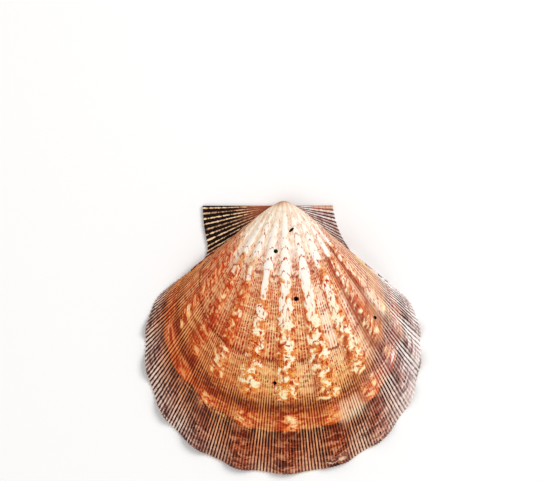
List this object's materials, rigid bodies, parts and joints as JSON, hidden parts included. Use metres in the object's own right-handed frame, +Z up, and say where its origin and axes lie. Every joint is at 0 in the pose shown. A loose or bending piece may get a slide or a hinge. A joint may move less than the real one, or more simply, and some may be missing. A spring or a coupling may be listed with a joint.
{
  "type": "scallop shell",
  "caption": "Empty scallop valve lying dome up, with rounded radiating ribs, a scalloped margin and two unequal ears along a straight hinge line.",
  "frame": {"origin": "the middle of the bounding box, on the plane that the valve rests on", "axes": "+Z up, out of the dome; +Y from the margin towards the straight hinge line; the longer, anterior ear on the -X side"},
  "size_m": [0.0842, 0.0832, 0.0193],
  "materials": {
    "shell_calcite": "satin, with fine radial riblets and concentric growth lines"
  },
  "bodies": {
    "root": {"valve": "shell_calcite"}
  },
  "joints": []
}
